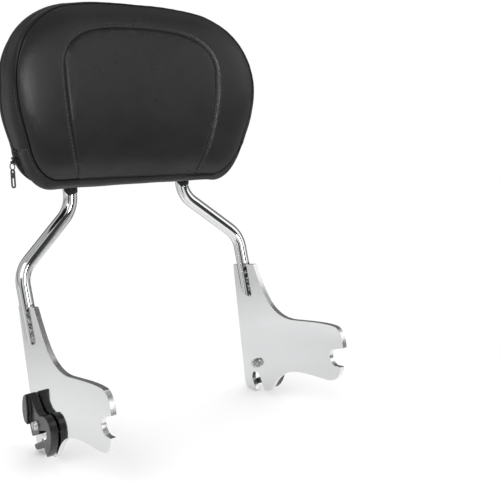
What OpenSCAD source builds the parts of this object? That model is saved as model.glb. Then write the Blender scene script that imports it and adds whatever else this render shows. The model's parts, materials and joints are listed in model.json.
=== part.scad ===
// Detachable passenger backrest for a touring motorbike: a bent chrome hoop welded
// to two slotted side plates, a turning latch on each plate, and a zip-on padded cover.
// X is across the bike, -Y is forward and +Z is up, as the backrest stands when docked.
// The origin is midway between the two plates, at the centre of the front docking seats.

/* [Side plates] */
// Clear distance between the two side plates
plate_gap = 292; // [250:1:340]
// Thickness of each side plate
plate_t = 6; // [4:0.5:8]
// Radius of the front docking seat
front_seat_r = 10; // [8:0.5:11]
// Radius of the rear docking seat
rear_seat_r = 9; // [7:0.5:10]
// Rear docking seat, back from the front one
rear_seat_y = 150.8; // [146:0.2:156]
// Rear docking seat, below the front one
rear_seat_drop = 75; // [72:0.5:80]

/* [Hoop] */
// Outer diameter of the hoop tube
tube_d = 16; // [14:0.5:18]
// Wall of the hoop tube
tube_wall = 1.8; // [1:0.1:3]
// How far the tube end reaches down over the plate, measured in height
tube_overlap = 48; // [30:1:55]
// Height of the lower bend
low_bend_z = 110; // [100:1:130]
// Height of the upper bend
up_bend_z = 170; // [155:1:185]
// Distance of the upper bend behind the front docks
up_bend_y = 214; // [205:0.5:220]
// Half the distance between the legs above the upper bend
leg_half_gap = 76; // [60:1:90]
// Lean of the legs below the upper bend, in degrees
leg_lean = 17.5; // [10:0.5:22]
// Radius of the bends in the legs, at the middle of the tube
leg_bend_r = 34; // [26:1:40]
// Radius of the two top corners, at the middle of the tube
top_bend_r = 40; // [30:1:50]
// Slant of the cut across each tube end, in degrees
end_slant = 38; // [0:1:50]

/* [Weld] */
// Leg of each weld bead
weld_leg = 2.4; // [1.5:0.1:3.5]
// Height of the ripples on the beads
weld_ripple = 0.35; // [0:0.05:0.5]
// Distance from one ripple to the next
weld_pitch = 3.6; // [3:0.2:6]

/* [Latch] */
// Height of the latch pivot above the rear docking seat
pivot_rise = 22.1; // [20:0.1:25]
// Distance of the latch pivot in front of the rear docking seat
pivot_fore = 2; // [0:0.5:5]
// Thickness of the latch lever
lever_t = 8.8; // [7:0.2:11]
// Thickness of the jaw that shuts the rear slot
jaw_t = 3.4; // [2.5:0.2:5]
// Height of the finger tab above the lever's face
tab_rise = 4.2; // [2:0.2:7]
// Height of the grip ribs on the finger tab
rib_h = 0.8; // [0.4:0.1:1.2]
// Number of grip ribs
rib_count = 5; // [3:1:7]
// Nominal thread size of the pivot screw
screw_d = 6; // [5:0.5:7]
// Diameter of the slotted pan head
head_d = 12; // [10:0.5:14]
// Height of the slotted pan head
head_h = 3.2; // [2.4:0.2:4.5]
// Outer diameter of the pivot bush
bush_d = 10; // [9:0.5:11]
// Thickness of the spring washer behind the lever
spring_washer_t = 1; // [0.6:0.1:1.6]
// Thickness of the washer under the nut
washer_t = 1.2; // [0.8:0.1:2]
// Distance across the flats of the nut
nut_af = 10; // [9:0.5:13]
// Height of the nut
nut_h = 5; // [4:0.5:7]

/* [Pad] */
// Width of the pad's front seam
pad_w = 303; // [270:1:330]
// Height of the pad's front seam
pad_h = 194; // [170:2:220]
// Height of the middle of the pad
pad_mid_z = 302.2; // [298:0.2:315]
// Lean of the pad and of the hoop behind it, in degrees
pad_lean = 4.8; // [3:0.2:8]
// Turn of the pad on the hoop, in degrees, with the +X side up
pad_roll = -3.2; // [-4:0.2:0]
// How far the face stands out in front of the surface between its seams
pad_crown = 8; // [4:0.5:14]
// How far the seam comes forward at the pad's two sides
seam_wrap = 13; // [6:0.5:15]
// How far the seam goes back at the pad's top and bottom
seam_sweep = 9; // [4:0.5:10]
// How far the side gusset swells outside its seams, at the pad's sides
pad_bulge = 5; // [2:0.5:7]
// How far the back of the pad sits below its front
rear_drop = 3; // [0:0.5:6]
// How far the back of the pad is drawn in all round
rear_draw = 2; // [0:0.5:4]
// How far the back of the pad fills out at its lower corners
corner_fill = 6; // [0:0.5:8]
// Thickness of the padded leatherette
cover_t = 3; // [2:0.25:4]
// Thickness of the backing board
board_t = 5; // [3:0.5:8]
// Depth of the zip's middle behind the front seam
zip_depth = 37.5; // [34:0.5:44]
// Width of the zip chain
zip_w = 4.4; // [3:0.2:5]
// Length of the zip pull tab
pull_len = 21; // [16:1:28]
// Width of the zip pull tab
pull_w = 5; // [4:0.2:6]

/* [Fits] */
// Clearance between soft pieces and what they lie against
soft_clear = 0.3; // [0.1:0.05:0.5]
// Running clearance between the lever and its bush, on the radius
turn_clear = 0.08; // [0.02:0.02:0.1]
// Running gap between the lever and the washer and screw head beside it
side_clear = 0.1; // [0.05:0.05:0.3]
// Clearance of holes for screws, on the radius
hole_clear = 0.25; // [0.1:0.05:0.5]

/* [Hidden] */

$fn = 48;
chrome = [0.86, 0.87, 0.88];
weld_grey = [0.45, 0.45, 0.46];
black_plastic = [0.10, 0.10, 0.11];
steel = [0.72, 0.73, 0.74];
leather = [0.13, 0.13, 0.135];
leather_side = [0.16, 0.16, 0.165];
foam_colour = [0.78, 0.74, 0.62];
board_colour = [0.30, 0.24, 0.18];
zip_black = [0.05, 0.05, 0.05];

plate_mid_x = plate_gap / 2 + plate_t / 2;
plate_out_x = plate_gap / 2 + plate_t;
tube_r = tube_d / 2;

// Vector helpers

function unit(v) = v / norm(v);
function mirror_x(p) = [-p[0], p[1], p[2]];
function bezier(a, b, c, d, t) =
    pow(1 - t, 3) * a + 3 * t * pow(1 - t, 2) * b + 3 * t * t * (1 - t) * c + t * t * t * d;
function arc_points(centre, r, from, to, steps) =
    [for (i = [0:steps])
        let(turn = from + (to - from) * i / steps) centre + r * [cos(turn), sin(turn)]];

// Places children with their X, Y and Z along three given directions
module frame(ex, ey, ez, at) {
    multmatrix([
        [ex[0], ey[0], ez[0], at[0]],
        [ex[1], ey[1], ez[1], at[1]],
        [ex[2], ey[2], ez[2], at[2]],
        [0, 0, 0, 1]
    ])
        children();
}

// A profile drawn as (y, z), extruded along X from x0 over a thickness
module yz_extrude(x0, thickness) {
    frame([0, 1, 0], [0, 0, 1], [1, 0, 0], [x0, 0, 0])
        linear_extrude(thickness)
            children();
}

// The wall draws a little thinner in a bend, and each straight laps onto the bend by a hair
bend_thinning = 0.02;
bend_lap = 0.05;

module ring_profile(r, bore) {
    difference() {
        circle(r);
        circle(bore);
    }
}

// A straight tube from a to b
module straight_tube(a, b, r, bore) {
    ez = unit(b - a);
    ex = unit(cross(abs(ez[0]) < 0.9 ? [1, 0, 0] : [0, 1, 0], ez));
    frame(ex, cross(ez, ex), ez, a)
        linear_extrude(norm(b - a))
            ring_profile(r, bore);
}

// How much of each straight a bend of radius bend_r takes up at corner i
function bend_angle(path, i) = acos(unit(path[i] - path[i - 1]) * unit(path[i + 1] - path[i]));
function bend_take(path, bends, i) =
    i == 0 || i == len(path) - 1 ? 0 : bends[i] * tan(bend_angle(path, i) / 2);

// A tube along a path of points, with an arc of the given radius at each corner
module bent_tube(path, bends, r, bore) {
    for (i = [0:len(path) - 2]) {
        u = unit(path[i + 1] - path[i]);
        from = path[i] + u * (bend_take(path, bends, i) - bend_lap);
        to = path[i + 1] - u * (bend_take(path, bends, i + 1) - bend_lap);
        straight_tube(from, to, r, bore);
    }
    for (i = [1:len(path) - 2]) {
        u = unit(path[i] - path[i - 1]);
        w = unit(path[i + 1] - path[i]);
        turn = bend_angle(path, i);
        centre = path[i] + unit(w - u) * bends[i] / cos(turn / 2);
        ex = unit(path[i] - u * bend_take(path, bends, i) - centre);
        frame(ex, u, cross(ex, u), centre)
            rotate_extrude(angle = turn)
                translate([bends[i], 0])
                    ring_profile(r - bend_thinning, bore + bend_thinning);
    }
}

function middle(ring) = [for (p = ring) 1] * ring / len(ring);

// A closed solid through rings that all have the same number of points
module loft(rings) {
    n = len(rings[0]);
    m = len(rings);
    first_middle = n * m;
    last_middle = n * m + 1;
    points = concat([for (ring = rings) each ring], [middle(rings[0]), middle(rings[m - 1])]);
    sides = [for (i = [0:m - 2]) for (j = [0:n - 1])
        each [
            [i * n + j, i * n + (j + 1) % n, (i + 1) * n + (j + 1) % n],
            [i * n + j, (i + 1) * n + (j + 1) % n, (i + 1) * n + j]
        ]];
    first_cap = [for (j = [0:n - 1]) [first_middle, (j + 1) % n, j]];
    last_cap = [for (j = [0:n - 1]) [last_middle, (m - 1) * n + j, (m - 1) * n + (j + 1) % n]];
    polyhedron(points, concat(sides, first_cap, last_cap), convexity = 8);
}

// A ring-shaped solid whose rings close on themselves, as a belt does
module belt(rings) {
    n = len(rings[0]);
    m = len(rings);
    points = [for (ring = rings) each ring];
    sides = [for (i = [0:m - 1]) for (j = [0:n - 1])
        each [
            [i * n + j, i * n + (j + 1) % n, ((i + 1) % m) * n + (j + 1) % n],
            [i * n + j, ((i + 1) % m) * n + (j + 1) % n, ((i + 1) % m) * n + j]
        ]];
    polyhedron(points, sides, convexity = 8);
}

// Side plates

plate_top = [[159.1, 78.6], [201.8, 69.4]];
plate_nose_top = [6, 37.6];
front_mouth = 15;
front_mouth_reach = 26;
front_mouth_flare = 3;
rear_mouth = 240;
rear_mouth_reach = 30;
rear_seat = [rear_seat_y, -rear_seat_drop];
pivot = rear_seat + [-pivot_fore, pivot_rise];

// Outline of the plate before its slots are cut
module plate_blank() {
    neck = [for (i = [0:12]) bezier(plate_top[0], [138, 45], [122, 20], [82, 24.6], i / 12)];
    arm_top = [for (i = [1:8]) bezier([82, 24.6], [60, 28.5], [28, 36.6], plate_nose_top, i / 8)];
    nose = [for (i = [1:8]) bezier(plate_nose_top, [-6, 38.2], [-11, 27], [-12.5, 14], i / 8)];
    lobe = [for (i = [0:8]) bezier([-9.5, -9], [-8.5, -22], [0, -30.5], [15.3, -32.1], i / 8)];
    belly = [for (i = [1:10]) bezier([15.3, -32.1], [62, -37], [92, -40], [111.5, -67.6], i / 10)];
    heel = [for (i = [1:6]) bezier([111.5, -67.6], [118, -77], [121, -86.5], [133, -86.3], i / 6)];
    tail = [for (i = [0:8]) bezier([151.2, -92], [163, -98.5], [177, -95], [177.1, -79.6], i / 8)];
    polygon(concat(neck, arm_top, nose, lobe, belly, heel, tail, [plate_top[1]]));
}

// A slot with a round seat, opening along a direction and flaring towards its mouth
module open_slot(seat, r, direction, reach, flare) {
    translate(seat)
        rotate(direction) {
            circle(r);
            polygon([[0, -r], [reach, -r - flare], [reach, r + flare], [0, r]]);
        }
}

module plate_profile() {
    difference() {
        plate_blank();
        open_slot([0, 0], front_seat_r, 180 - front_mouth, front_mouth_reach, front_mouth_flare);
        open_slot(rear_seat, rear_seat_r, rear_mouth, rear_mouth_reach, 0);
        translate(pivot)
            circle(screw_d / 2 + hole_clear);
    }
}

// side is -1 for the left plate and 1 for the right
module side_plate(side) {
    color(chrome)
        yz_extrude(side * plate_mid_x - plate_t / 2, plate_t)
            plate_profile();
}

module side_plate_left() { side_plate(-1); }
module side_plate_right() { side_plate(1); }

// Hoop plane: X across, U up along the legs and D back. The pad lies on it, turned a little.

board_rear = zip_depth + zip_w / 2 + soft_clear;
hoop_depth = board_rear + soft_clear + tube_r;
hoop_up = [0, sin(pad_lean), cos(pad_lean)];
pad_d = [0, cos(pad_lean), -sin(pad_lean)];
hoop_mid_z = pad_mid_z - hoop_depth * sin(pad_lean);
hoop_mid = [0, up_bend_y + (hoop_mid_z - up_bend_z) * tan(pad_lean), hoop_mid_z];
pad_mid = hoop_mid - hoop_depth * pad_d;
pad_x = [cos(pad_roll), 0, 0] + sin(pad_roll) * hoop_up;
pad_v = [-sin(pad_roll), 0, 0] + cos(pad_roll) * hoop_up;
function pad_point(x, v, d) = pad_mid + x * pad_x + v * pad_v + d * pad_d;

module in_pad() {
    frame(pad_x, pad_v, -pad_d, pad_mid)
        children();
}

// As in_pad, but without the pad's turn, for what holds the hoop
module in_hoop() {
    frame([1, 0, 0], hoop_up, -pad_d, pad_mid)
        children();
}

// Hoop

hoop_cover = 38;
hoop_top_u = pad_h / 2 - hoop_cover;
up_bend = [leg_half_gap, up_bend_y, up_bend_z];
function leg_y(z) = up_bend_y - (up_bend_z - z) * tan(leg_lean);
tube_end_z = plate_top[0][1] + 0.9 - tube_overlap;
low_bend = [plate_mid_x, leg_y(low_bend_z), low_bend_z];
tube_end = [plate_mid_x, leg_y(tube_end_z), tube_end_z];
hoop_corner = hoop_mid + [leg_half_gap, 0, 0] + hoop_top_u * hoop_up;
half_path = [tube_end, low_bend, up_bend, hoop_corner];
hoop_path = concat(half_path, [for (i = [3:-1:0]) mirror_x(half_path[i])]);
hoop_bends = [0, leg_bend_r, leg_bend_r, top_bend_r, top_bend_r, leg_bend_r, leg_bend_r, 0];
leg_axis = unit(low_bend - tube_end);

// Cuts the tube's end on a slant, so that it tapers onto the plate with its tip in front
module tube_end_cut(side) {
    cut_len = 3 * tube_d;
    translate([side * plate_mid_x, tube_end[1], tube_end[2]])
        rotate([-leg_lean, 0, 0])
            translate([0, 0, tube_r * tan(end_slant)])
                rotate([end_slant, 0, 0])
                    translate([-tube_d, -cut_len, -cut_len])
                        cube([2 * tube_d, 2 * cut_len, cut_len]);
}

module hoop_tube() {
    color(chrome)
        difference() {
            bent_tube(hoop_path, hoop_bends, tube_r, tube_r - tube_wall);
            for (side = [-1, 1]) {
                side_plate_slit(side);
                tube_end_cut(side);
            }
        }
}

// The plate's own profile, so the tube straddles the plate without a gap
module side_plate_slit(side) {
    yz_extrude(side * plate_mid_x - plate_t / 2, plate_t)
        plate_blank();
}

// Welds: four beads a plate, along the two lines where the tube meets each face

weld_end = tube_overlap - 2;
weld_step = weld_pitch / 3;
root_angle = asin(plate_t / 2 / tube_r);

// A bead starts where the slanted end leaves it a place on the tube
function weld_start(across) = tube_r * (1 + across * cos(root_angle)) * tan(end_slant) + 1.5;
function weld_size(s) = weld_leg + weld_ripple * sin(360 * s / weld_pitch);
function weld_taper(s, start) = min(1, (s - start + 0.6) / 3, (weld_end - s + 0.6) / 3);
bead_clear = 0.04;
function bead_section(size) =
    let(
        r = tube_r + bead_clear,
        toe_angle = root_angle + size / tube_r * 180 / PI,
        root = r * [cos(root_angle), sin(root_angle)],
        toe_tube = r * [cos(toe_angle), sin(toe_angle)],
        toe_plate = root + [size, 0],
        half = (root_angle + toe_angle) / 2
    )
    [
        root, toe_plate, (toe_plate + toe_tube) / 2 + size * 0.24 * [0.8, 0.6],
        toe_tube, r * [cos(half), sin(half)]
    ];

// across is 1 for the bead behind the tube and -1 for the one in front, face is the plate's face
module weld_bead(side, across, face) {
    ey = across * unit(cross([1, 0, 0], leg_axis)) * -1;
    ex = [face, 0, 0];
    base = [side * plate_mid_x, tube_end[1], tube_end[2]];
    start = weld_start(across);
    steps = floor((weld_end - start) / weld_step);
    rings = [for (i = [0:steps])
        let(s = start + i * weld_step, sec = bead_section(weld_size(s) * weld_taper(s, start)))
        [for (p = sec) base + leg_axis * s + p[0] * ey + p[1] * ex]];
    flip = across * face > 0;
    loft(flip ? rings : [for (i = [steps:-1:0]) rings[i]]);
}

module weld_beads(side) {
    color(weld_grey)
        for (across = [-1, 1])
            for (face = [-1, 1])
                weld_bead(side, across, face);
}

module weld_beads_left() { weld_beads(-1); }
module weld_beads_right() { weld_beads(1); }

// Latch, drawn relative to its pivot as (y, z), closed as in the slot-shut position

lever_gap = spring_washer_t + side_clear;
bush_r = bush_d / 2;

tab_corner = [14, 32.5];

module lever_body_profile() {
    lobe_front = [for (i = [0:10]) bezier([-22, 19], [-46, 20], [-44, -12], [-25, -28.5], i / 10)];
    polygon(concat(
        [[15, 17], [18, 3], [17.5, -8], [14, -17.4], [11, -17.4], [2.5, -13], [-6.5, -8.5]],
        [[-7.5, -3.5], [-26, 3.5], [-26.5, -2], [-24.5, -11.5], [-20, -19], [-19.6, -21.5]],
        [for (i = [10:-1:0]) lobe_front[i]],
        [[-12, 15.5]]
    ));
}

module lever_jaw_profile() {
    polygon(concat(
        [[-26.5, -2], [-10.5, -14.5], [22, -33.5], [21, -37], [16.5, -38.2]],
        [[6, -33], [-6, -26.8], [-19.6, -21.5], [-30, -20]]
    ));
}

module lever_tab_profile() {
    back = [for (i = [0:8]) bezier([21.5, 28.5], [28, 19], [29, 4], [22.5, -3], i / 8)];
    polygon(concat(
        [tab_corner], back, [[15.5, -4], [13, 12]]
    ));
}

module lever_arm_profile() {
    polygon([tab_corner, [21.5, 28.5], [25.5, 14], [22.5, -3], [15.5, -8], [-12, 8], [-12, 15.5], [-4, 17]]);
}

module latch_lever(side) {
    face0 = plate_out_x + lever_gap;
    color(black_plastic)
        scale_side(side)
            translate([0, pivot[0], pivot[1]])
                difference() {
                    union() {
                        yz_extrude(face0, lever_t)
                            lever_body_profile();
                        yz_extrude(face0, lever_t)
                            lever_arm_profile();
                        yz_extrude(face0, jaw_t)
                            lever_jaw_profile();
                        yz_extrude(face0, lever_t + tab_rise)
                            lever_tab_profile();
                        tab_ribs(face0);
                    }
                    translate([face0 - 1, 0, 0])
                        rotate([0, 90, 0])
                            cylinder(r = bush_r + turn_clear, h = lever_t + 2);
                }
}

// Low ridges along the top of the finger tab
module tab_ribs(face0) {
    a = tab_corner;
    b = [21.5, 28.5];
    for (i = [0:rib_count - 1]) {
        x = face0 + (i + 0.7) * (lever_t + tab_rise) / (rib_count + 0.4);
        frame([1, 0, 0], [0, unit(b - a)[0], unit(b - a)[1]],
            cross([1, 0, 0], [0, unit(b - a)[0], unit(b - a)[1]]),
            [x, a[0], a[1]])
            translate([-0.6, 0.8, -1])
                cube([1.2, norm(b - a) - 1.6, 1 + rib_h]);
    }
}

// Mirrors what is drawn for the right side onto the left
module scale_side(side) {
    mirror([side < 0 ? 1 : 0, 0, 0])
        children();
}

// A round piece on the pivot axis, from x0 outwards, on either side
module on_pivot(side, x0) {
    scale_side(side)
        translate([x0, pivot[0], pivot[1]])
            rotate([0, 90, 0])
                children();
}

bush_len = lever_gap + lever_t + side_clear;
washer_r = screw_d + 0.4;

module latch_bush(side) {
    color(steel)
        on_pivot(side, plate_out_x)
            difference() {
                cylinder(r = bush_r, h = bush_len);
                translate([0, 0, -1])
                    cylinder(r = screw_d / 2 + hole_clear, h = bush_len + 2);
            }
}

module latch_screw(side) {
    shank_len = bush_len + plate_t + washer_t + nut_h + 2.5;
    color(steel)
        on_pivot(side, plate_out_x + bush_len)
            difference() {
                union() {
                    cylinder(r1 = head_d / 2, r2 = head_d / 2 - 1.2, h = head_h);
                    translate([0, 0, -shank_len])
                        cylinder(r = screw_d / 2, h = shank_len + 0.5);
                }
                translate([-head_d, -0.9, head_h - 1.4])
                    cube([2 * head_d, 1.8, 2]);
            }
}

module ring_washer(r_out, r_in, t) {
    difference() {
        cylinder(r = r_out, h = t);
        translate([0, 0, -1])
            cylinder(r = r_in, h = t + 2);
    }
}

module latch_spring_washer(side) {
    color(steel)
        on_pivot(side, plate_out_x)
            ring_washer(bush_r + 3, bush_r + 0.2, spring_washer_t);
}

module latch_washer(side) {
    color(steel)
        on_pivot(side, plate_gap / 2 - washer_t)
            ring_washer(washer_r, screw_d / 2 + hole_clear, washer_t);
}

module latch_nut(side) {
    color(steel)
        on_pivot(side, plate_gap / 2 - washer_t - nut_h)
            difference() {
                cylinder(r = nut_af / sqrt(3), h = nut_h, $fn = 6);
                translate([0, 0, -1])
                    cylinder(r = screw_d / 2, h = nut_h + 2);
            }
}

module latch_lever_left() { latch_lever(-1); }
module latch_lever_right() { latch_lever(1); }
module latch_bush_left() { latch_bush(-1); }
module latch_bush_right() { latch_bush(1); }
module latch_screw_left() { latch_screw(-1); }
module latch_screw_right() { latch_screw(1); }
module latch_spring_washer_left() { latch_spring_washer(-1); }
module latch_spring_washer_right() { latch_spring_washer(1); }
module latch_washer_left() { latch_washer(-1); }
module latch_washer_right() { latch_washer(1); }
module latch_nut_left() { latch_nut(-1); }
module latch_nut_right() { latch_nut(1); }

// Pad outline: half of it runs from the middle of the bottom edge up the +X side to the top

half_w = pad_w / 2;
half_h = pad_h / 2;
horseshoe_foot = half_w * 0.5;
foot_steps = 3;
function in_half(p) = [p[0] * half_w, p[1] * half_h];
side_curves = [
    [[0.50, -1], [0.55, -1], [0.60, -1], [0.66, -1]],
    [[0.66, -1], [0.78, -1], [0.865, -0.83], [0.90, -0.66]],
    [[0.90, -0.66], [0.945, -0.396], [1, -0.23], [1, 0.05]],
    [[1, 0.05], [1, 0.47], [0.85, 0.81], [0.57, 0.93]],
    [[0.57, 0.93], [0.37, 1], [0.16, 1], [0, 1]]
];
curve_steps = [2, 5, 6, 8, 5];
half_outline = concat(
    [for (i = [0:foot_steps - 1]) [horseshoe_foot * i / foot_steps, -half_h]],
    [for (c = [0:4]) for (i = [0:curve_steps[c] - 1])
        let(q = side_curves[c]) in_half(bezier(q[0], q[1], q[2], q[3], i / curve_steps[c]))],
    [[0, half_h]]
);
half_n = len(half_outline) - 1;
// The whole outline goes round once, starting at the middle of the bottom edge
outline = concat(half_outline, [for (i = [half_n - 1:-1:1]) [-half_outline[i][0], half_outline[i][1]]]);
outline_n = len(outline);
function outline_normal(i) =
    let(
        a = outline[(i + outline_n - 1) % outline_n],
        b = outline[(i + 1) % outline_n],
        t = unit(b - a)
    )
    [t[1], -t[0]];
outline_out = [for (i = [0:outline_n - 1]) outline_normal(i)];

// Depth of the surface between the front seams: its sides come forward, its top and bottom go back
function seam_depth(p) = seam_sweep * pow(p[1] / half_h, 2) - seam_wrap * pow(p[0] / half_w, 2);

// The gusset hangs fuller below than above, and its rear edge is drawn in and sits lower
bottom_swell = 0.6;
upper_fill = 0.5;
function corner_share(n) = 2 * abs(n[0]) * (n[1] < 0 ? -n[1] : upper_fill * n[1]);
function rim_of(n) = corner_fill * corner_share(n) - rear_draw - rear_drop * n[1];
function rear_rim(i) = rim_of(outline_out[i]);
function bulge_at(i, s) =
    pad_bulge * (1 - bottom_swell * outline_out[i][1]) * sin(180 * min(1, s * 0.9 + 0.12))
    + s * rear_rim(i);

// Point i of the outline moved outwards, at a depth
function rim_point(i, out, d) =
    let(p = outline[i] + out * outline_out[i]) pad_point(p[0], p[1], d);

// The horseshoe seam on the face, one point for each point of the arch of the outline
function horseshoe_at(t) =
    in_half(t < 0.5 ? bezier([0.5, -1], [0.63, -0.35], [0.64, -0.02], [0.64, 0.25], t * 2)
        : bezier([0.64, 0.25], [0.62, 0.65], [0.352, 0.71], [0, 0.71], t * 2 - 1));
half_horseshoe = [for (i = [0:half_n])
    i <= foot_steps ? half_outline[i] : horseshoe_at((i - foot_steps) / (half_n - foot_steps))];
horseshoe = concat(
    half_horseshoe,
    [for (i = [half_n - 1:-1:1]) [-half_horseshoe[i][0], half_horseshoe[i][1]]]
);

// How far the face stands out at a point: nothing on the seam, the full crown at the middle
function along(list, i) =
    let(k = floor(i), f = i - k) list[k % outline_n] * (1 - f) + list[(k + 1) % outline_n] * f;
function reach_at(i) = norm(along(horseshoe, i)) / norm(along(outline, i));
function crown_at(s) = pad_crown * (1 - pow(s, 3));
function face_point(i, s, inset) =
    let(
        share = reach_at(i), h = along(horseshoe, i), o = along(outline, i),
        p = s <= share ? h * s / share : h + (o - h) * (s - share) / max(0.001, 1 - share)
    )
    pad_point(p[0], p[1], seam_depth(p) + inset - crown_at(s));

// A skin over part of the face, between two shares of the way from middle to seam
centre_rings = 5;
module pad_centre_panel() {
    front = [for (k = [1:centre_rings]) [for (i = [0:outline_n - 1])
        face_point(i, reach_at(i) * k / centre_rings, 0)]];
    rear = [for (k = [centre_rings:-1:1]) [for (i = [0:outline_n - 1])
        face_point(i, reach_at(i) * k / centre_rings, cover_t)]];
    color(leather)
        loft(concat(front, rear));
}

seam_gap = 0.01;
arch_tip = 0.2;
arch_sections = concat(
    [foot_steps + arch_tip],
    [for (i = [foot_steps + 1:outline_n - foot_steps - 1]) i],
    [outline_n - foot_steps - arch_tip]
);
module pad_arch_panel() {
    function arch_section(i) =
        let(share = reach_at(i) + seam_gap)
        [
            face_point(i, share, 0), face_point(i, (share * 2 + 1) / 3, 0),
            face_point(i, (share + 2) / 3, 0), face_point(i, 1, 0),
            face_point(i, 1, cover_t), face_point(i, (share + 2) / 3, cover_t),
            face_point(i, (share * 2 + 1) / 3, cover_t), face_point(i, share, cover_t)
        ];
    color(leather)
        loft([for (i = arch_sections) arch_section(i)]);
}

// The gusset is a belt round the foam, and it stops short of the zip along the lower edge
zip_top_v = -half_h * 0.6;
function at_zip(i) = outline[i][1] < zip_top_v;
gusset_front = cover_t + soft_clear;
function gusset_rear(i) = at_zip(i) ? zip_depth - zip_w / 2 - 0.2 : zip_depth - 0.2;
function cover_front(i) = at_zip(i) ? zip_depth + zip_w / 2 + 0.2 : zip_depth + 0.2;

module pad_gusset() {
    function section(i) =
        let(
            rear = gusset_rear(i),
            front = seam_depth(outline[i]) + gusset_front,
            steps = 4
        )
        concat(
            [for (k = [0:steps]) rim_point(i, bulge_at(i, k / steps), front + (rear - front) * k / steps)],
            [for (k = [steps:-1:0])
                rim_point(i, bulge_at(i, k / steps) - cover_t, front + (rear - front) * k / steps)]
        );
    color(leather_side)
        belt([for (i = [0:outline_n - 1]) section(i)]);
}

// The back cover is a shallow dish with rounded edges that takes the hoop
cover_rear = board_rear + 2 * (tube_r + soft_clear) + 3 + cover_t;
cover_round = 16;
dish_steps = 4;
function dish_out(k) = -cover_round * (1 - cos(90 * k / dish_steps));
function dish_depth(i, k, from) = from + (cover_rear - from) * sin(90 * k / dish_steps);

module pad_back_cover() {
    outer = [for (k = [dish_steps:-1:0]) [for (i = [0:outline_n - 1])
        rim_point(i, rear_rim(i) + dish_out(k), dish_depth(i, k, cover_front(i)))]];
    inner = [for (k = [0:dish_steps]) [for (i = [0:outline_n - 1])
        rim_point(i, rear_rim(i) + dish_out(k) - cover_t,
            min(dish_depth(i, k, cover_front(i)), cover_rear - cover_t))]];
    color(leather)
        difference() {
            loft(concat(outer, inner));
            for (side = [-1, 1])
                in_hoop()
                    tube_notch(side);
        }
}

// A notch from the cover's front edge round the tube, which the zip closes
module tube_notch(side) {
    notch_r = tube_r + 3 * soft_clear;
    notch_h = 40;
    translate([side * leg_half_gap, -half_h - notch_h / 2, -hoop_depth])
        rotate([-90, 0, 0]) {
            cylinder(r = notch_r, h = notch_h);
            translate([-notch_r, -2 * tube_r, 0])
                cube([2 * notch_r, 2 * tube_r, notch_h]);
        }
}

// The foam's rings lie behind those of the panels, so the two never cross at the seam
foam_reach = 0.97;
foam_edge = 0.03;
arch_rings = 3;
module pad_foam() {
    lining = cover_t + 3 * soft_clear;
    shoulder = 2;
    back_depth = board_rear - board_t - soft_clear;
    function seam_share(i) = min(reach_at(i), foam_reach - foam_edge);
    inner = [for (k = [1:centre_rings]) [for (i = [0:outline_n - 1])
        face_point(i, seam_share(i) * k / centre_rings, lining)]];
    outer = [for (k = [1:arch_rings]) [for (i = [0:outline_n - 1])
        face_point(i, seam_share(i) + (foam_reach - seam_share(i)) * k / arch_rings, lining)]];
    back = [for (k = [0:3]) [for (i = [0:outline_n - 1])
        let(start = seam_depth(outline[i]) + lining + shoulder)
            rim_point(i, bulge_at(i, k / 3) - pad_bulge * 0.2 - lining - 2 * soft_clear,
                start + (back_depth - start) * k / 3)]];
    color(foam_colour)
        loft(concat(inner, outer, back));
}

board_inset = 8;
module pad_board() {
    color(board_colour)
        in_pad()
            translate([0, 0, -board_rear])
                linear_extrude(board_t)
                    polygon([for (i = [0:outline_n - 1])
                        outline[i] + (rear_rim(i) - board_inset) * outline_out[i]]);
}

// Saddles hold the hoop's legs against the board, two on each leg
saddle_w = 14;
saddle_t = 1.5;
saddle_foot = 11;
saddle_u = [-half_h * 0.62, hoop_top_u - top_bend_r - saddle_w];
saddle_hole_r = 2.1;
saddle_head_r = 3.6;

module saddle(x, u) {
    saddle_in = tube_r + soft_clear;
    saddle_out = saddle_in + saddle_t;
    translate([x, u - saddle_w / 2, -board_rear])
        rotate([-90, 0, 0])
            difference() {
                union() {
                    translate([0, saddle_in, 0])
                        cylinder(r = saddle_out, h = saddle_w);
                    translate([-saddle_out - saddle_foot, 0, 0])
                        cube([2 * (saddle_out + saddle_foot), saddle_t, saddle_w]);
                    translate([-saddle_out, 0, 0])
                        cube([2 * saddle_out, saddle_in, saddle_w]);
                }
                translate([0, saddle_in, -1])
                    cylinder(r = saddle_in, h = saddle_w + 2);
                translate([-saddle_in, -1, -1])
                    cube([2 * saddle_in, saddle_in + 1, saddle_w + 2]);
                translate([-saddle_out - 1, -2 * saddle_out, -1])
                    cube([2 * saddle_out + 2, 2 * saddle_out, saddle_w + 2]);
                for (foot = [-1, 1])
                    translate([foot * (saddle_out + saddle_foot / 2), -1, saddle_w / 2])
                        rotate([-90, 0, 0])
                            cylinder(r = saddle_hole_r, h = saddle_t + 2);
            }
}

module tube_saddles() {
    color(steel)
        in_hoop()
            for (x = [-leg_half_gap, leg_half_gap])
                for (u = saddle_u)
                    saddle(x, u);
}

module saddle_screws() {
    saddle_out = tube_r + soft_clear + saddle_t;
    color(steel)
        in_hoop()
            for (x = [-leg_half_gap, leg_half_gap])
                for (u = saddle_u)
                    for (foot = [-1, 1])
                        translate([x + foot * (saddle_out + saddle_foot / 2), u, -board_rear - saddle_t])
                            rotate([180, 0, 0])
                                cylinder(r = saddle_head_r, h = 2);
}

// Zip, along the lower edge from corner to corner

zip_first = [for (i = [0:half_n]) if (at_zip(i)) i];
zip_count = len(zip_first);
zip_rise = 1;

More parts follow.
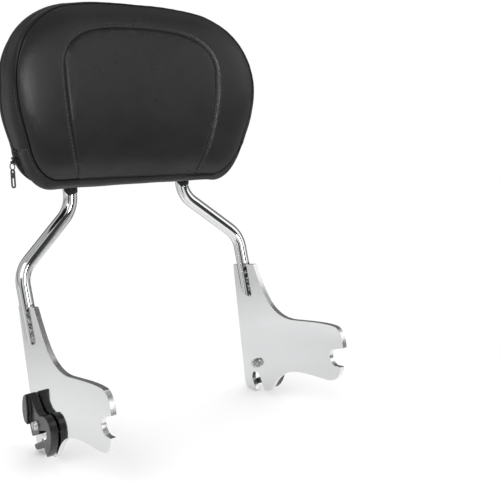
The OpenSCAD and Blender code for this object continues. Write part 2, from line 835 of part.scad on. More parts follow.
module zip_chain() {
    function chain_section(i) =
        let(b = rear_rim(i), w = zip_w / 2)
        [
            rim_point(i, b - cover_t, zip_depth - w), rim_point(i, b + zip_rise - 1.2, zip_depth - w),
            rim_point(i, b + zip_rise, zip_depth - w * 0.4), rim_point(i, b + zip_rise, zip_depth + w * 0.4),
            rim_point(i, b + zip_rise - 1.2, zip_depth + w), rim_point(i, b - cover_t, zip_depth + w)
        ];
    color(zip_black)
        loft([for (k = [-zip_count + 1:zip_count - 1])
            chain_section((k + outline_n) % outline_n)]);
}

// The slider sits at the left end of the chain, with the pull hanging from its bridge
slider_i = outline_n - zip_count + 1;
slider_shut = 0.9;
slider_at = along(outline, slider_i + slider_shut);
slider_out = unit(along(outline_out, slider_i + slider_shut));
slider_l = 9;
slider_d = 6.6;
slider_h = 1.8;
slider_lift = 0.5;
slider_base = rim_of(slider_out) + zip_rise + slider_lift;
slider_axis = [-slider_out[1], slider_out[0]];
pin_r = 0.7;
barrel_r = 1.7;
barrel_l = 2.4;
cheek_t = 0.9;
cheek_r = 1.3;
pin_rise = slider_h + barrel_r + 0.4;
pull_pin = slider_at + slider_out * (slider_base + pin_rise);
pull_t = 1.4;
ring_r = 3.4;
ring_wire = 1.1;

module zip_slider() {
    ex = slider_axis[0] * pad_x + slider_axis[1] * pad_v;
    ez = slider_out[0] * pad_x + slider_out[1] * pad_v;
    foot = slider_at + slider_out * slider_base;
    cheek_y = barrel_l / 2 + side_clear;
    color(zip_black)
        frame(ex, pad_d, ez, pad_point(foot[0], foot[1], zip_depth)) {
            translate([-slider_l / 2, -slider_d / 2, 0])
                cube([slider_l, slider_d, slider_h]);
            for (y = [-cheek_y - cheek_t, cheek_y])
                translate([-cheek_r, y, 0]) {
                    cube([2 * cheek_r, cheek_t, pin_rise]);
                    translate([cheek_r, 0, pin_rise])
                        rotate([-90, 0, 0])
                            cylinder(r = cheek_r, h = cheek_t);
                }
            translate([0, -cheek_y - cheek_t, pin_rise])
                rotate([-90, 0, 0])
                    cylinder(r = pin_r, h = 2 * (cheek_y + cheek_t));
        }
}

module zip_pull() {
    ring_drop = barrel_r - 0.4 + ring_r;
    color(zip_black)
        translate(pad_point(pull_pin[0], pull_pin[1], zip_depth)) {
            difference() {
                union() {
                    pin_round(barrel_r, barrel_l);
                    translate([0, 0, -ring_drop])
                        rotate([0, 90, 0])
                            cylinder(r = ring_r, h = ring_wire, center = true);
                }
                pin_round(pin_r + turn_clear, 2 * barrel_l);
                translate([0, 0, -ring_drop])
                    rotate([0, 90, 0])
                        cylinder(r = ring_r - ring_wire, h = 2 * ring_wire, center = true);
            }
            translate([0, 0, -ring_drop - ring_r + ring_wire / 2])
                pull_tab();
        }
}

// A cylinder on the pull's own pin, which lies along the pad's depth
module pin_round(r, h) {
    rotate([90 - pad_lean, 0, 0])
        cylinder(r = r, h = h, center = true);
}

// A narrow tab with round ends and a long slot near its tip
module pull_tab() {
    tip_r = pull_w / 2;
    neck_r = tip_r * 0.62;
    slot_r = tip_r - 1.2;
    slot_len = pull_len * 0.28;
    yz_extrude(-pull_t / 2, pull_t)
        difference() {
            polygon(concat(
                arc_points([0, -pull_len + tip_r], tip_r, 180, 360, 10),
                arc_points([0, -neck_r], neck_r, 0, 180, 8)
            ));
            for (z = [0, slot_len])
                translate([0, -pull_len + tip_r + z])
                    circle(slot_r);
            translate([-slot_r, -pull_len + tip_r])
                square([2 * slot_r, slot_len]);
        }
}

hoop_tube();
side_plate_left();
side_plate_right();
weld_beads_left();
weld_beads_right();
latch_lever_left();
latch_lever_right();
latch_bush_left();
latch_bush_right();
latch_screw_left();
latch_screw_right();
latch_spring_washer_left();
latch_spring_washer_right();
latch_washer_left();
latch_washer_right();
latch_nut_left();
latch_nut_right();
pad_centre_panel();
pad_arch_panel();
pad_gusset();
pad_back_cover();
pad_foam();
pad_board();
tube_saddles();
saddle_screws();
zip_chain();
zip_slider();
zip_pull();
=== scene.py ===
import json
import math

import bmesh
import bpy
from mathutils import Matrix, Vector, kdtree, noise

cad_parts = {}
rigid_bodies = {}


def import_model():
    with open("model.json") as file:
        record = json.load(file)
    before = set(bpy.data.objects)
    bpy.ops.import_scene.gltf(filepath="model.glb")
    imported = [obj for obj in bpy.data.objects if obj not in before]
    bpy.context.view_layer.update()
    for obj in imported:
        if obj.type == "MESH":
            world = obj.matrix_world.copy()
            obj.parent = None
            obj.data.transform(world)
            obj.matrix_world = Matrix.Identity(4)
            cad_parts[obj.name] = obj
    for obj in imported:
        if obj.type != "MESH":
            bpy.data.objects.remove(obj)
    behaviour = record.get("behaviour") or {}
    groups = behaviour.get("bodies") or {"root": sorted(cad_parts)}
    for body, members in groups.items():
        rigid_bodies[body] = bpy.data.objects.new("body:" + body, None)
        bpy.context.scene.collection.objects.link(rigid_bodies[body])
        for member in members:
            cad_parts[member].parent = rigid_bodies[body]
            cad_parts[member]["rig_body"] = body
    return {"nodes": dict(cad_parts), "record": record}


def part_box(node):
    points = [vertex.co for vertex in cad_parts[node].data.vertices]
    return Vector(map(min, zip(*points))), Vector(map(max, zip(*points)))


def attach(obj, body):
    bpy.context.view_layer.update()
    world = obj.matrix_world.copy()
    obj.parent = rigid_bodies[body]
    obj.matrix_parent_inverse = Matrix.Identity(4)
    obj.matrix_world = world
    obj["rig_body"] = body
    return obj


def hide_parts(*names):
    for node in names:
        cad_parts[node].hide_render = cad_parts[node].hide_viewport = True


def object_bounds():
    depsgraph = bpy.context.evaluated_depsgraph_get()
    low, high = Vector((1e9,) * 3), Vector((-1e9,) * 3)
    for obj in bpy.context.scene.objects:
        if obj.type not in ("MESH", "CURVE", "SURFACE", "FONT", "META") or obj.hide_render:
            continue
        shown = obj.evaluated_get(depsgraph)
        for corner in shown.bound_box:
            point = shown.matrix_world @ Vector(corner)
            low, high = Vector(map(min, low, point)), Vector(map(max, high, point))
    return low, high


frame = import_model()
CAD_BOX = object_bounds()
NODES = frame["nodes"]
BODY = "frame"

# Lengths are in millimetres up to the point where MM turns them into metres
MM = 0.001

# Sizes of the pad, as in the part's source
PAD_W, PAD_H = 303.0, 194.0
PAD_MID_Z, UP_BEND_Y, UP_BEND_Z = 302.2, 214.0, 170.0
LEAN, ROLL = math.radians(4.8), math.radians(-3.2)
CROWN, WRAP, SWEEP = 8.0, 13.0, 9.0
BULGE, REAR_DROP, REAR_DRAW, CORNER_FILL = 5.0, 3.0, 2.0, 6.0
BOTTOM_SWELL, UPPER_FILL = 0.6, 0.5
COVER_T, COVER_ROUND = 3.0, 16.0
ZIP_DEPTH, ZIP_W = 37.5, 4.4
TUBE_R, LEG_GAP = 8.0, 76.0
SOFT, BACK_ROOM = 0.3, 3.0
HALF_W, HALF_H = PAD_W / 2, PAD_H / 2

BOARD_REAR = ZIP_DEPTH + ZIP_W / 2 + SOFT
HOOP_DEPTH = BOARD_REAR + SOFT + TUBE_R
COVER_REAR = BOARD_REAR + 2 * (TUBE_R + SOFT) + BACK_ROOM + COVER_T

# Directions up the hoop and into the pad, and across and up the pad's rolled face
HOOP_UP = Vector((0, math.sin(LEAN), math.cos(LEAN)))
PAD_D = Vector((0, math.cos(LEAN), -math.sin(LEAN)))
PAD_X = math.cos(ROLL) * Vector((1, 0, 0)) + math.sin(ROLL) * HOOP_UP
PAD_V = -math.sin(ROLL) * Vector((1, 0, 0)) + math.cos(ROLL) * HOOP_UP

HOOP_MID_Z = PAD_MID_Z - HOOP_DEPTH * math.sin(LEAN)
HOOP_MID = Vector((0, UP_BEND_Y + (HOOP_MID_Z - UP_BEND_Z) * math.tan(LEAN), HOOP_MID_Z))
PAD_MID = HOOP_MID - HOOP_DEPTH * PAD_D

# Height on the pad of the seam across the gusset, and of the ends of the zip above it
FLAP_V = -62.0
ZIP_END, TAPE_END = 4.0, 3.0

# Turn of the photograph's camera to the right of straight ahead, in degrees
VIEW_TURN = 37.1


def at(p, d):
    """A point of the pad, from its place (x, v) across the face and its depth."""
    return (PAD_MID + p[0] * PAD_X + p[1] * PAD_V + d * PAD_D) * MM


def clamp(value, low, high):
    return min(high, max(low, value))


def ease(f):
    """Runs from 0 to 1 with a slow start and a slow end."""
    return 0.5 - 0.5 * math.cos(math.pi * f)


def cloud(x, y, z):
    """Smooth noise at a place, the same on each run."""
    return noise.noise(Vector((x, y, z)))


def groove(gap, depth, width):
    """Depth of a rounded furrow at a distance from its line."""
    return depth * math.exp(-(gap / width) ** 2)


# ---------------------------------------------------------------- outlines

# Bezier curves of the right half, in shares of the pad's half width and half height
SIDE = [
    [(0.50, -1), (0.55, -1), (0.60, -1), (0.66, -1)],
    [(0.66, -1), (0.78, -1), (0.865, -0.83), (0.90, -0.66)],
    [(0.90, -0.66), (0.945, -0.396), (1, -0.23), (1, 0.05)],
    [(1, 0.05), (1, 0.47), (0.85, 0.81), (0.57, 0.93)],
    [(0.57, 0.93), (0.37, 1), (0.16, 1), (0, 1)],
]
ARCH_FOOT = 0.5
ARCH = [
    [(ARCH_FOOT, -1), (0.63, -0.35), (0.64, -0.02), (0.64, 0.25)],
    [(0.64, 0.25), (0.62, 0.65), (0.352, 0.71), (0, 0.71)],
]
CURVE_STEPS = 60
RIM_N, RIM_MARKS, ARCH_MARKS = 420, 1800, 1400
TINY = 1e-9


def bezier(q, t):
    u = 1 - t
    w = (u ** 3, 3 * t * u * u, 3 * t * t * u, t ** 3)
    return Vector((sum(a * p[0] for a, p in zip(w, q)) * HALF_W,
                   sum(a * p[1] for a, p in zip(w, q)) * HALF_H))


def resample(points, n, closed=False):
    """n points at even steps along a polyline."""
    pts = points + [points[0]] if closed else points
    lengths = [0.0]
    for a, b in zip(pts, pts[1:]):
        lengths.append(lengths[-1] + (b - a).length)
    out, k = [], 0
    for i in range(n):
        want = lengths[-1] * i / (n if closed else n - 1)
        while k < len(pts) - 2 and lengths[k + 1] < want:
            k += 1
        f = (want - lengths[k]) / max(TINY, lengths[k + 1] - lengths[k])
        out.append(pts[k].lerp(pts[k + 1], min(1, f)))
    return out


def length_of(points):
    return sum((b - a).length for a, b in zip(points, points[1:]))


def from_foot(curves):
    """The right half of a curve, from the foot of the horseshoe to the top."""
    inside = [bezier(q, i / CURVE_STEPS) for q in curves for i in range(CURVE_STEPS)]
    return inside + [bezier(curves[-1], 1)]


def both_sides(half):
    """From the right foot over the top to the left foot."""
    return half + [Vector((-p.x, p.y)) for p in reversed(half[:-1])]


OVER_RIM = both_sides(from_foot(SIDE))
OVER_ARCH = both_sides(from_foot(ARCH))
RIM = resample(OVER_RIM, RIM_N, closed=True)


def normals(loop):
    out = []
    for i in range(len(loop)):
        t = (loop[(i + 1) % len(loop)] - loop[i - 1]).normalized()
        out.append(Vector((t.y, -t.x)))
    return out


RIM_OUT = normals(RIM)


def near(points):
    """A function for the distance to a set of points."""
    tree = kdtree.KDTree(len(points))
    for i, p in enumerate(points):
        tree.insert((p.x, p.y, 0), i)
    tree.balance()
    return lambda p: tree.find((p[0], p[1], 0))[2]


rim_gap = near(resample(OVER_RIM, RIM_MARKS, closed=True))
arch_gap = near(resample(OVER_ARCH, ARCH_MARKS))
RIM_POLAR = sorted((math.atan2(p.y, p.x), p.length) for p in RIM)


def rim_reach(p):
    """Length from the middle of the pad to its rim, in the direction of p."""
    a = math.atan2(p[1], p[0])
    lo, hi = 0, len(RIM_POLAR) - 1
    if a <= RIM_POLAR[0][0] or a >= RIM_POLAR[-1][0]:
        return (RIM_POLAR[0][1] + RIM_POLAR[-1][1]) / 2
    while hi - lo > 1:
        mid = (lo + hi) // 2
        if RIM_POLAR[mid][0] <= a:
            lo = mid
        else:
            hi = mid
    f = (a - RIM_POLAR[lo][0]) / max(TINY, RIM_POLAR[hi][0] - RIM_POLAR[lo][0])
    return RIM_POLAR[lo][1] * (1 - f) + RIM_POLAR[hi][1] * f


def seam_depth(p):
    """Depth of the seam round the face, which wraps back at the sides."""
    return SWEEP * (p[1] / HALF_H) ** 2 - WRAP * (p[0] / HALF_W) ** 2


def rim_of(n):
    """How far the rear rim stands out, by the outline's direction n there."""
    share = 2 * abs(n.x) * (-n.y if n.y < 0 else UPPER_FILL * n.y)
    return CORNER_FILL * share - REAR_DRAW - REAR_DROP * n.y


# The part of a half wave that the gusset's bulge runs through
BULGE_FROM, BULGE_SPAN = 0.12, 0.9


def bulge_at(n, s):
    """How far the gusset stands out, s being 0 at its front and 1 at its rear."""
    swell = BULGE * (1 - BOTTOM_SWELL * n.y)
    wave = math.sin(math.pi * min(1, s * BULGE_SPAN + BULGE_FROM))
    return swell * wave + s * rim_of(n)


# ---------------------------------------------------------------- materials

# The part of a noise's range that its ramps use
NOISE_SPAN = (0.3, 0.7)
NOISE_DETAIL, NOISE_ROUGHNESS = 4.0, 0.55
# Sockets of a mix node that blends colours
MIX_FACTOR, MIX_DARK, MIX_LIGHT, MIX_RESULT = 0, 6, 7, 2


def grey(level):
    return (level, level, level)


def material(name, colour, rough, build, metal=0.0, specular=0.5):
    m = bpy.data.materials.new(name)
    m.use_nodes = True
    tree = m.node_tree
    shader = tree.nodes["Principled BSDF"]
    shader.inputs["Base Color"].default_value = (*colour, 1)
    shader.inputs["Roughness"].default_value = rough
    shader.inputs["Metallic"].default_value = metal
    shader.inputs["Specular IOR Level"].default_value = specular
    build(tree, shader)
    return m


def node(tree, kind, **values):
    n = tree.nodes.new(kind)
    for key, value in values.items():
        if key in n.inputs:
            n.inputs[key].default_value = value
        else:
            setattr(n, key, value)
    return n


def place(tree):
    return node(tree, "ShaderNodeTexCoord").outputs["Object"]


def spread(tree, source, span, values):
    """Maps one range of a value onto another, and stays within it."""
    n = node(tree, "ShaderNodeMapRange", clamp=True)
    tree.links.new(source, n.inputs["Value"])
    for key, value in zip(("From Min", "From Max", "To Min", "To Max"), (*span, *values)):
        n.inputs[key].default_value = value
    return n.outputs["Result"]


def cloudy(tree, scale, detail=NOISE_DETAIL):
    n = node(tree, "ShaderNodeTexNoise", Scale=scale, Detail=detail, Roughness=NOISE_ROUGHNESS)
    tree.links.new(place(tree), n.inputs["Vector"])
    return n.outputs["Fac"]


def varied(tree, scale, values, span=NOISE_SPAN):
    """Noise that runs between two values."""
    return spread(tree, cloudy(tree, scale), span, values)


def waves(tree, scale, distortion):
    n = node(tree, "ShaderNodeTexWave", Scale=scale, Distortion=distortion)
    tree.links.new(place(tree), n.inputs["Vector"])
    return n.outputs["Fac"]


def tint(tree, shader, factor, dark, light):
    """Blends the base colour between two."""
    n = node(tree, "ShaderNodeMix", data_type="RGBA")
    tree.links.new(factor, n.inputs[MIX_FACTOR])
    n.inputs[MIX_DARK].default_value = (*dark, 1)
    n.inputs[MIX_LIGHT].default_value = (*light, 1)
    tree.links.new(n.outputs[MIX_RESULT], shader.inputs["Base Color"])


def gloss(tree, shader, scale, rough, span=NOISE_SPAN):
    """Varies the roughness between two values."""
    tree.links.new(varied(tree, scale, rough, span), shader.inputs["Roughness"])


def bump(tree, shader, height, strength, distance):
    n = node(tree, "ShaderNodeBump", Strength=strength, Distance=distance)
    tree.links.new(height, n.inputs["Height"])
    tree.links.new(n.outputs["Normal"], shader.inputs["Normal"])


def chrome_look(scale, rough, dark, light):
    def build(tree, shader):
        gloss(tree, shader, scale, rough, span=(0.35, 0.7))
        tint(tree, shader, cloudy(tree, scale * 0.4), dark, light)
    return build


def leather_look(dark, light):
    """Smooth leatherette: fine pebble grain, faint blotches, and a little wear in its gloss."""
    grain = 900

    def build(tree, shader):
        tint(tree, shader, varied(tree, 14, (0, 1)), dark, light)
        gloss(tree, shader, 60, (0.27, 0.33))
        cells = node(tree, "ShaderNodeTexVoronoi", feature="DISTANCE_TO_EDGE", Scale=grain)
        tree.links.new(place(tree), cells.inputs["Vector"])
        pebbles = spread(tree, cells.outputs["Distance"], (0.0, 0.22), (0, 1))
        total = node(tree, "ShaderNodeMath", operation="MULTIPLY_ADD")
        total.inputs[1].default_value = 0.5
        tree.links.new(cloudy(tree, grain * 0.6), total.inputs[0])
        tree.links.new(pebbles, total.inputs[2])
        bump(tree, shader, total.outputs[0], strength=0.16, distance=0.0002)
    return build


def weld_shade_and_glint_look(tree, shader):
    # Black to grey mottle: painted shade and glints on the weld's ripples, and a darker weld
    # standing in for the shade beside the tube; the ripples' relief is the bump.
    tint(tree, shader, varied(tree, 240, (0, 1), span=(0.42, 0.58)), grey(0.02), grey(0.50))
    gloss(tree, shader, 500, (0.10, 0.28))
    bump(tree, shader, cloudy(tree, 330, detail=3), strength=1.0, distance=0.004)


def moulded_look(tree, shader):
    gloss(tree, shader, 90, (0.24, 0.34))
    tint(tree, shader, cloudy(tree, 30), grey(0.004), (0.010, 0.010, 0.011))
    bump(tree, shader, cloudy(tree, 900, detail=2), strength=0.12, distance=0.0002)


def plated_look(tree, shader):
    gloss(tree, shader, 220, (0.18, 0.38))
    tint(tree, shader, cloudy(tree, 120), (0.42, 0.425, 0.43), (0.58, 0.58, 0.575))


def foam_look(tree, shader):
    tint(tree, shader, cloudy(tree, 300), (0.62, 0.55, 0.38), (0.75, 0.70, 0.52))
    bump(tree, shader, cloudy(tree, 900, detail=8), strength=0.5, distance=0.0006)


def board_look(tree, shader):
    tint(tree, shader, waves(tree, 18.0, 6.0), (0.18, 0.11, 0.06), (0.30, 0.20, 0.11))


def weave_look(tree, shader):
    rows = waves(tree, 700.0, 0.5)
    bump(tree, shader, rows, strength=0.3, distance=0.0003)
    # The tint follows the bump, darker in its furrows and lighter on its ridges: painted shade and
    # highlight on the weave.
    tint(tree, shader, rows, grey(0.010), grey(0.028))


def thread_look(tree, shader):
    twist = waves(tree, 1400.0, 0.3)
    bump(tree, shader, twist, strength=0.4, distance=0.0002)
    # The tint follows the bump, darker in the twist's grooves and lighter on its ridges: painted
    # shade and highlight on the thread.
    tint(tree, shader, twist, grey(0.04), grey(0.09))


def black_metal_look(tree, shader):
    gloss(tree, shader, 200, (0.22, 0.36))
    tint(tree, shader, cloudy(tree, 160), grey(0.012), grey(0.05))


CHROME = material("tube_chrome", grey(0.8), 0.05, metal=1.0, build=chrome_look(
    30, (0.03, 0.07), (0.69, 0.695, 0.70), (0.76, 0.765, 0.77)))
# The plates get a darker copy of the tube's chrome, which tones down their reflection of the
# floor: painted shade.
PLATE = material("plate_chrome_painted_shade", grey(0.8), 0.08, metal=1.0, build=chrome_look(
    18, (0.05, 0.09), (0.63, 0.635, 0.64), (0.69, 0.695, 0.70)))
# The plates' edge faces get a lighter, rougher copy of the plates' chrome: the lighter tint is a
# painted highlight along the edges.
PLATE_RIM_PAINTED_HIGHLIGHT = material("plate_rim_chrome_painted_highlight", grey(0.8), 0.3, metal=1.0, build=chrome_look(
    40, (0.20, 0.32), (0.72, 0.725, 0.73), grey(0.80)))
# Weld metal with painted shade and glints in its colour.
WELD_SHADE_AND_GLINTS = material("weld_metal_painted_shade_and_glints", grey(0.3), 0.2, weld_shade_and_glint_look, metal=1.0)
MOULD = material("moulded_black", grey(0.01), 0.3, moulded_look)
PLATED = material("plated_steel", grey(0.6), 0.3, plated_look, metal=1.0)
LEATHER = material("leatherette_face", grey(0.03), 0.45, specular=0.32, build=leather_look(
    (0.010, 0.010, 0.0105), (0.015, 0.015, 0.0155)))
# The gusset, back cover and tongues get a darker, less shiny copy of the face's leatherette:
# painted shade on the pad's sides.
LEATHER_SHADED_SIDE = material("leatherette_edge_painted_shade", grey(0.03), 0.45, specular=0.20, build=leather_look(
    (0.009, 0.009, 0.0095), (0.013, 0.013, 0.0135)))
THREAD = material("sewing_thread", grey(0.10), 0.5, thread_look)
FOAM = material("foam_block", (0.7, 0.6, 0.4), 0.9, foam_look)
BOARD = material("backing_board", (0.2, 0.15, 0.1), 0.7, board_look)
TAPE = material("zip_tape", grey(0.02), 0.7, weave_look)
BLACK_METAL = material("zip_metal_black", grey(0.03), 0.3, black_metal_look)

# ---------------------------------------------------------------- meshes

# Vertices closer than these are joined, in metres
MERGE, CAD_MERGE = 1e-6, 2e-6
# Edges of a CAD node that turn more than this are rounded, flat ones are dissolved
SHARP, FLAT = math.radians(32), math.radians(1)
# How a moulding's voxels are evened out, and the share of faces that stays
MOULD_EVEN, MOULD_PASSES, MOULD_KEPT = 0.5, 7, 0.35


def add(name, data):
    """A new object in the scene."""
    obj = bpy.data.objects.new(name, data)
    bpy.context.scene.collection.objects.link(obj)
    return obj


def new_mesh(name, verts, faces, merge=0.0):
    """A mesh whose faces all look outwards."""
    mesh = bpy.data.meshes.new(name)
    mesh.from_pydata([tuple(v) for v in verts], [], faces)
    mesh.validate()
    bm = bmesh.new()
    bm.from_mesh(mesh)
    bmesh.ops.remove_doubles(bm, verts=bm.verts, dist=merge)
    bmesh.ops.recalc_face_normals(bm, faces=bm.faces)
    bm.to_mesh(mesh)
    bm.free()
    return mesh


def shade(mesh, smooth=True):
    for poly in mesh.polygons:
        poly.use_smooth = smooth


def piece(name, verts, faces, mat, stands_for=(), body=BODY, smooth=True):
    mesh = new_mesh(name, verts, faces, MERGE)
    mesh.materials.append(mat)
    shade(mesh, smooth)
    obj = add(name, mesh)
    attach(obj, body)
    if stands_for:
        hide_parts(*stands_for)
    return obj


def grid_faces(rows, cols, wrap_cols=False, wrap_rows=False):
    faces = []
    for r in range(rows if wrap_rows else rows - 1):
        for c in range(cols if wrap_cols else cols - 1):
            a, b = r * cols + c, r * cols + (c + 1) % cols
            r2 = (r + 1) % rows
            faces.append((a, b, r2 * cols + (c + 1) % cols, r2 * cols + c))
    return faces


def end_caps(sides, rings):
    """Faces that shut both ends of a tube of rings."""
    last = (rings - 1) * sides
    return [tuple(range(sides))[::-1], tuple(range(last, last + sides))]


def join(verts, faces, more_verts, more_faces):
    """Adds one mesh to another, both as lists."""
    faces += [tuple(k + len(verts) for k in face) for face in more_faces]
    verts += more_verts


def bake(obj):
    """Applies the modifiers of a piece of the scene's own."""
    deps = bpy.context.evaluated_depsgraph_get()
    done = bpy.data.meshes.new_from_object(obj.evaluated_get(deps))
    obj.modifiers.clear()
    obj.data = done


def stand_in(obj, source):
    """Lets a piece ride with the CAD node that it stands for."""
    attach(obj, NODES[source]["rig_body"])
    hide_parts(source)


def softened(name, source, width, mat, segments=2, rim=None):
    """A copy of a CAD node with its sharp edges rounded; its rim can have its own material."""
    mesh = NODES[source].data.copy()
    mesh.name = name
    bm = bmesh.new()
    bm.from_mesh(mesh)
    bmesh.ops.remove_doubles(bm, verts=bm.verts, dist=CAD_MERGE)
    bmesh.ops.dissolve_limit(bm, angle_limit=FLAT, verts=bm.verts, edges=bm.edges)
    bm.to_mesh(mesh)
    bm.free()
    mesh.materials.clear()
    mesh.materials.append(mat)
    obj = add(name, mesh)
    cut = obj.modifiers.new("round", "BEVEL")
    cut.width = width * MM
    cut.segments = segments
    cut.limit_method = "ANGLE"
    cut.angle_limit = SHARP
    cut.harden_normals = True
    cut.use_clamp_overlap = True
    flat = obj.modifiers.new("flat", "WEIGHTED_NORMAL")
    flat.mode = "FACE_AREA"
    flat.weight = 100
    shade(mesh)
    bake(obj)
    # The rim's material, where given, is a lighter copy: a painted highlight on the edge faces.
    if rim:
        obj.data.materials.append(rim)
        for poly in obj.data.polygons:
            poly.material_index = 1 if abs(poly.normal.x) < 0.5 else 0
    stand_in(obj, source)


def moulded(name, source, voxel, mat):
    """A copy of a CAD node as a moulding, with its edges and inner corners rounded."""
    obj = add(name, NODES[source].data.copy())
    skin = obj.modifiers.new("skin", "REMESH")
    skin.mode = "VOXEL"
    skin.voxel_size = voxel * MM
    even = obj.modifiers.new("even", "SMOOTH")
    even.factor = MOULD_EVEN
    even.iterations = MOULD_PASSES
    fewer = obj.modifiers.new("fewer", "DECIMATE")
    fewer.ratio = MOULD_KEPT
    bake(obj)
    obj.data.materials.clear()
    obj.data.materials.append(mat)
    for poly in obj.data.polygons:
        poly.material_index = 0
    shade(obj.data)
    stand_in(obj, source)


def paint(source, mat):
    data = NODES[source].data
    data.materials.clear()
    data.materials.append(mat)


# ---------------------------------------------------------------- pad face

# Creases beside a seam: height, reach, and lengths of the long and the short ones
PUCKER, PUCKER_REACH = 0.45, 7.0
PUCKER_LONG, PUCKER_SHORT = 7.0, 3.2
# Share of them beside the rim and on the gusset
RIM_PUCKER, SIDE_PUCKER = 0.6, 0.5
# The face's turn down to its rim, and the furrow beside that rim
TURN_DOWN, TURN_REACH, TURN_POWER = 3.4, 9.0, 1.2
RIM_FURROW, RIM_FURROW_W = 0.9, 1.5
# That furrow fades towards the right and towards the bottom, down to these shares
FADE_FROM, LEAST_RIGHT, FADE_HEIGHT, LEAST_BOTTOM = 0.6, 0.2, 40.0, 0.3
# The dip towards the horseshoe seam, and the furrow in it
SEAM_DIP, SEAM_REACH = 0.7, 7.0
SEAM_FURROW, SEAM_FURROW_W = 1.5, 1.1
FACE_WAVE, FACE_WAVE_LONG = 0.5, 45.0
# Distance of the topstitching from its seam, and the furrow that it draws
TOPSTITCH, STITCH_FURROW = 3.1, 0.9
# Rings of the centre panel, closer together towards its edge
RING_N, RING_POWER = 46, 1.6
RINGS = [1 - (1 - k / RING_N) ** RING_POWER for k in range(1, RING_N + 1)]
CENTRE_N, BOTTOM_N = 330, 60
HUB = Vector((0, -6))
ARCH_COLS, ARCH_ROWS = 420, 34
# Hidden edges: the centre panel's under its seam, and the arch's under the rim
UNDER_SEAM, SEAM_DROP, UNDER_RIM = 0.985, 1.6, 0.995


def pucker(p, gap):
    """Small creases that run away from a seam and fade."""
    wave = cloud(p[0] / PUCKER_LONG, p[1] / PUCKER_LONG, 3.1)
    wave += 0.5 * cloud(p[0] / PUCKER_SHORT, p[1] / PUCKER_SHORT, 9.4)
    return PUCKER * wave * math.exp(-gap / PUCKER_REACH)


def face_depth(p):
    """Depth of the pad's face; the furrow at its rim fades to the right and to the bottom."""
    s = min(1.0, math.hypot(p[0], p[1]) / rim_reach(p))
    outer, inner = rim_gap(p), arch_gap(p)
    d = seam_depth(p) - CROWN * (1 - s ** 3)
    left = clamp(FADE_FROM - p[0] / HALF_W, LEAST_RIGHT, 1.0)
    above = clamp((p[1] + HALF_H) / FADE_HEIGHT, LEAST_BOTTOM, 1.0)
    d += (TURN_DOWN * math.exp(-(outer / TURN_REACH) ** TURN_POWER)
          + groove(outer, RIM_FURROW * left * above, RIM_FURROW_W))
    free = 1 - math.exp(-outer / SEAM_REACH)
    d += free * (SEAM_DIP * math.exp(-inner / SEAM_REACH)
                 + groove(inner, SEAM_FURROW, SEAM_FURROW_W))
    d += pucker(p, inner) + RIM_PUCKER * pucker((p[1], p[0]), outer)
    d += FACE_WAVE * cloud(p[0] / FACE_WAVE_LONG, p[1] / FACE_WAVE_LONG, 0.7)
    return d


def topstitch_dip(gap):
    return groove(gap - TOPSTITCH, STITCH_FURROW, STITCH_FURROW)


def centre_panel():
    foot = HALF_W * ARCH_FOOT
    bottom = [Vector((-foot + 2 * foot * i / BOTTOM_N, -HALF_H)) for i in range(1, BOTTOM_N)]
    edge = resample(OVER_ARCH, CENTRE_N) + bottom
    verts, n = [], len(edge)
    for r in RINGS:
        for e in edge:
            p = HUB.lerp(e, r)
            verts.append(at(p, face_depth(p)))
    faces = grid_faces(len(RINGS), n, wrap_cols=True)
    verts.append(at(HUB, face_depth(HUB)))
    faces += [(len(verts) - 1, (c + 1) % n, c) for c in range(n)]
    last, base = (len(RINGS) - 1) * n, len(verts)
    for e in edge:
        verts.append(at(HUB.lerp(e, UNDER_SEAM), face_depth(e) + SEAM_DROP))
    faces += [(last + c, last + (c + 1) % n, base + (c + 1) % n, base + c) for c in range(n)]
    obj = piece("pad_centre", verts, faces, LEATHER, ["pad_centre_panel"])


def arch_panel():
    rim, arch = resample(OVER_RIM, ARCH_COLS), resample(OVER_ARCH, ARCH_COLS)
    verts = []
    for c in range(ARCH_COLS):
        for r in range(ARCH_ROWS):
            p = arch[c].lerp(rim[c], ease(r / (ARCH_ROWS - 1)))
            verts.append(at(p, face_depth(p) + topstitch_dip(arch_gap(p))))
        verts.append(at(rim[c] * UNDER_RIM, seam_depth(rim[c]) + COVER_T))
    faces = grid_faces(ARCH_COLS, ARCH_ROWS + 1)
    obj = piece("pad_arch", verts, faces, LEATHER, ["pad_arch_panel"])


# ---------------------------------------------------------------- pad side and back

SIDE_ROWS, BACK_STEPS = 30, 14
# The gusset's front edge under the face: how far in, and how deep
FRONT_TUCK = ((4.0, 4.6), (1.0, 3.6))
# The flap below the seam at FLAP_V lies lower than the gusset above it
FLAP_STEP, FLAP_EDGE = 2.0, 0.25
# Under the pad the cover sags, more on the left, and fills the lower right corner
SAG, SAG_FADE, CORNER_SAG, CORNER_POWER = 2.6, 1.7, 3.0, 1.5
# The lip just above that seam: height, place above it and width
LIP, LIP_ABOVE, LIP_W = 0.7, 3.0, 2.2
# Furrows beside the seam in front (deeper at the left and on top) and the zip behind
FRONT_FURROW, FRONT_MORE, LEFT_GAIN = 0.6, 0.7, 1.4
SIDE_FURROW_W, REAR_FURROW = 1.5, 1.6
# How squarely the flap and the sag start and end over the gusset's depth
LOW_POWER = 0.3
# Where the gusset starts and ends: laps over the face, stops short of the zip or the seam
FRONT_LAP, SHORT_OF_ZIP, SEAM_HALF = 0.6, 2.0, 0.2
REAR_TUCK, REAR_LAP = 2.6, 0.1
# The outline lies under the pad from one downward slope to another
UNDER_FROM, UNDER_RANGE = 0.55, 0.4
# Soft waves: height and length, of the gusset and of the back cover's side
SIDE_WAVE, SIDE_WAVE_LONG = 0.4, 26
COVER_WAVE, COVER_WAVE_LONG, COVER_WAVE_DEEP = 0.3, 24, 20
